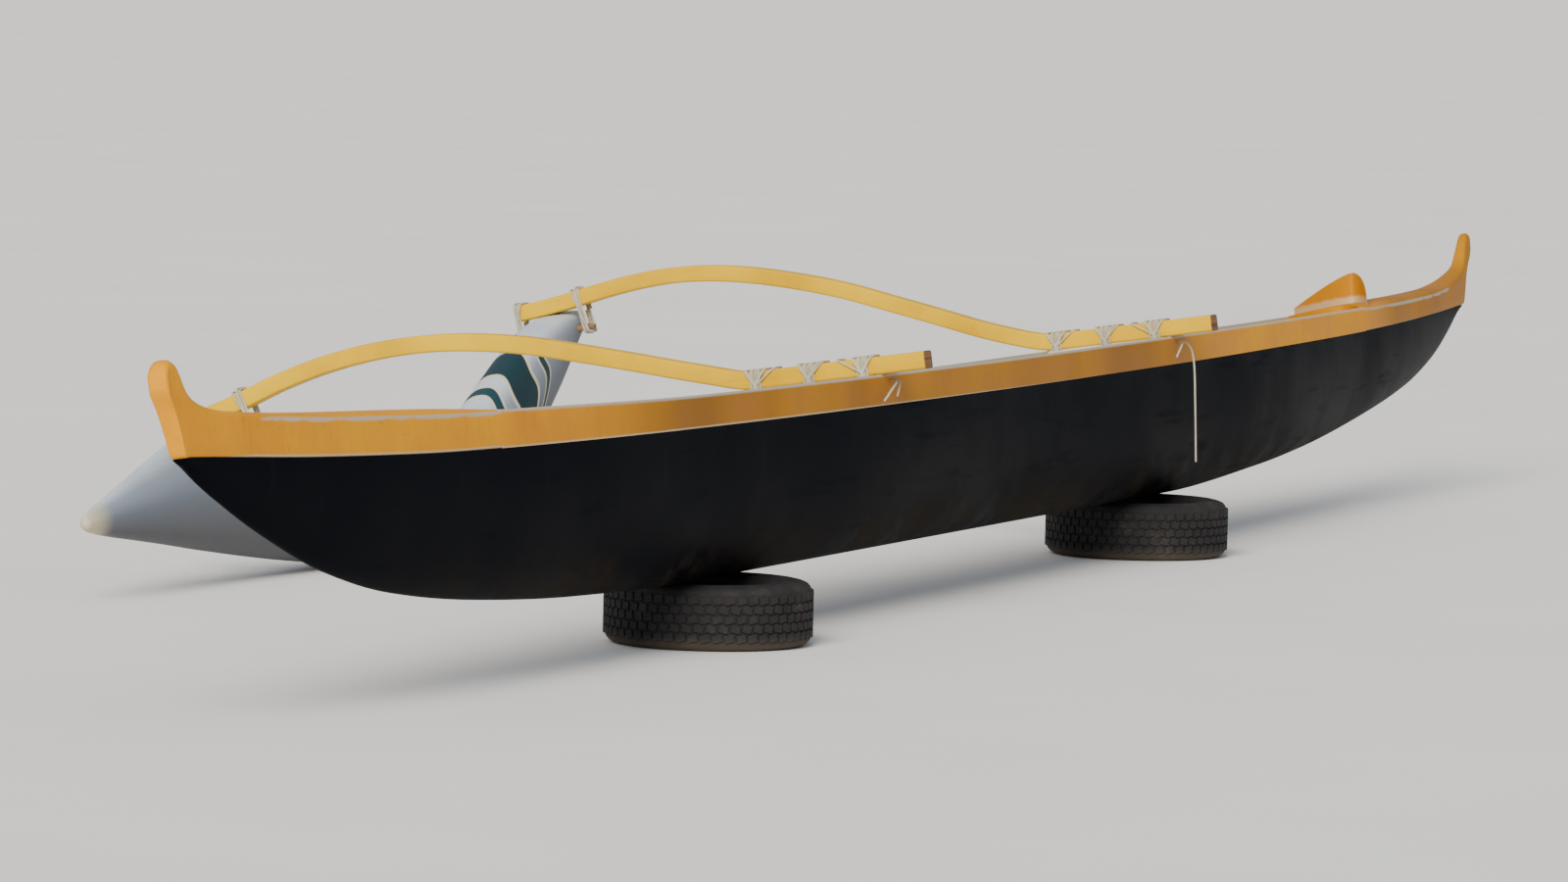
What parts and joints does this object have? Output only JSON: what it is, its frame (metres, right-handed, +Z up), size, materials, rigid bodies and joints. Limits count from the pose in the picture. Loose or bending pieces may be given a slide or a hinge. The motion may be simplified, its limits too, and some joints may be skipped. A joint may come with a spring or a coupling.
{
  "type": "outrigger canoe",
  "caption": "Long narrow paddling canoe parked on old tyres, leaning over to port onto the float that arched cross beams and cord lashings hold beside it.",
  "frame": {"origin": "the point on the ground below the centre of the bounding box of the canoe as it is parked", "axes": "+X towards the bow, +Y to port, where the float is, +Z up; the canoe leans 8.9 degrees to port about its own length"},
  "size_m": [12.3, 2.698, 1.0327],
  "materials": {
    "hull_black": "blue-black gelcoat, semi-gloss, dusty and scuffed",
    "strake_yellow": "orange-yellow gelcoat, semi-gloss, with brown wear",
    "iako_yellow": "laminated wood under bright yellow paint, worn pale on top",
    "white_gelcoat": "off-white gelcoat, stained",
    "ama_white": "white gelcoat over foam, dull",
    "lashing_cord": "off-white cotton cord, weathered",
    "peg_wood": "turned wood under old white paint",
    "tyre_rubber": "worn out black rubber, grey with dust"
  },
  "bodies": {
    "root": {"hull_shell": "hull_black", "strake_port": "strake_yellow", "strake_starboard": "strake_yellow", "stern_end_piece": "strake_yellow", "bow_end_piece": "strake_yellow", "splash_guard": "strake_yellow", "bulkhead_stern": "white_gelcoat", "bulkhead_bow": "white_gelcoat", "seat_rail_port": "white_gelcoat", "seat_rail_starboard": "white_gelcoat", "seat_1": "white_gelcoat", "seat_2": "white_gelcoat", "seat_3": "white_gelcoat", "seat_4": "white_gelcoat", "seat_5": "white_gelcoat", "seat_6": "white_gelcoat", "iako_stern": "iako_yellow", "iako_bow": "iako_yellow", "spreader_stern": "white_gelcoat", "spreader_bow": "white_gelcoat", "ama_peg_stern": "peg_wood", "ama_peg_bow": "peg_wood", "hull_lashing_stern_starboard": "lashing_cord", "hull_lashing_stern_middle": "lashing_cord", "hull_lashing_stern_port": "lashing_cord", "hull_lashing_bow_starboard": "lashing_cord", "hull_lashing_bow_middle": "lashing_cord", "hull_lashing_bow_port": "lashing_cord", "ama_lashing_stern_outboard": "lashing_cord", "ama_lashing_stern_inboard": "lashing_cord", "ama_lashing_bow_outboard": "lashing_cord", "ama_lashing_bow_inboard": "lashing_cord", "ama": "ama_white", "tyre_stern": "tyre_rubber", "tyre_bow": "tyre_rubber", "lashing_tail": "lashing_cord", "lashing_end_bow": "lashing_cord", "lashing_end_stern_long": "lashing_cord", "lashing_end_stern_short": "lashing_cord"}
  },
  "joints": []
}
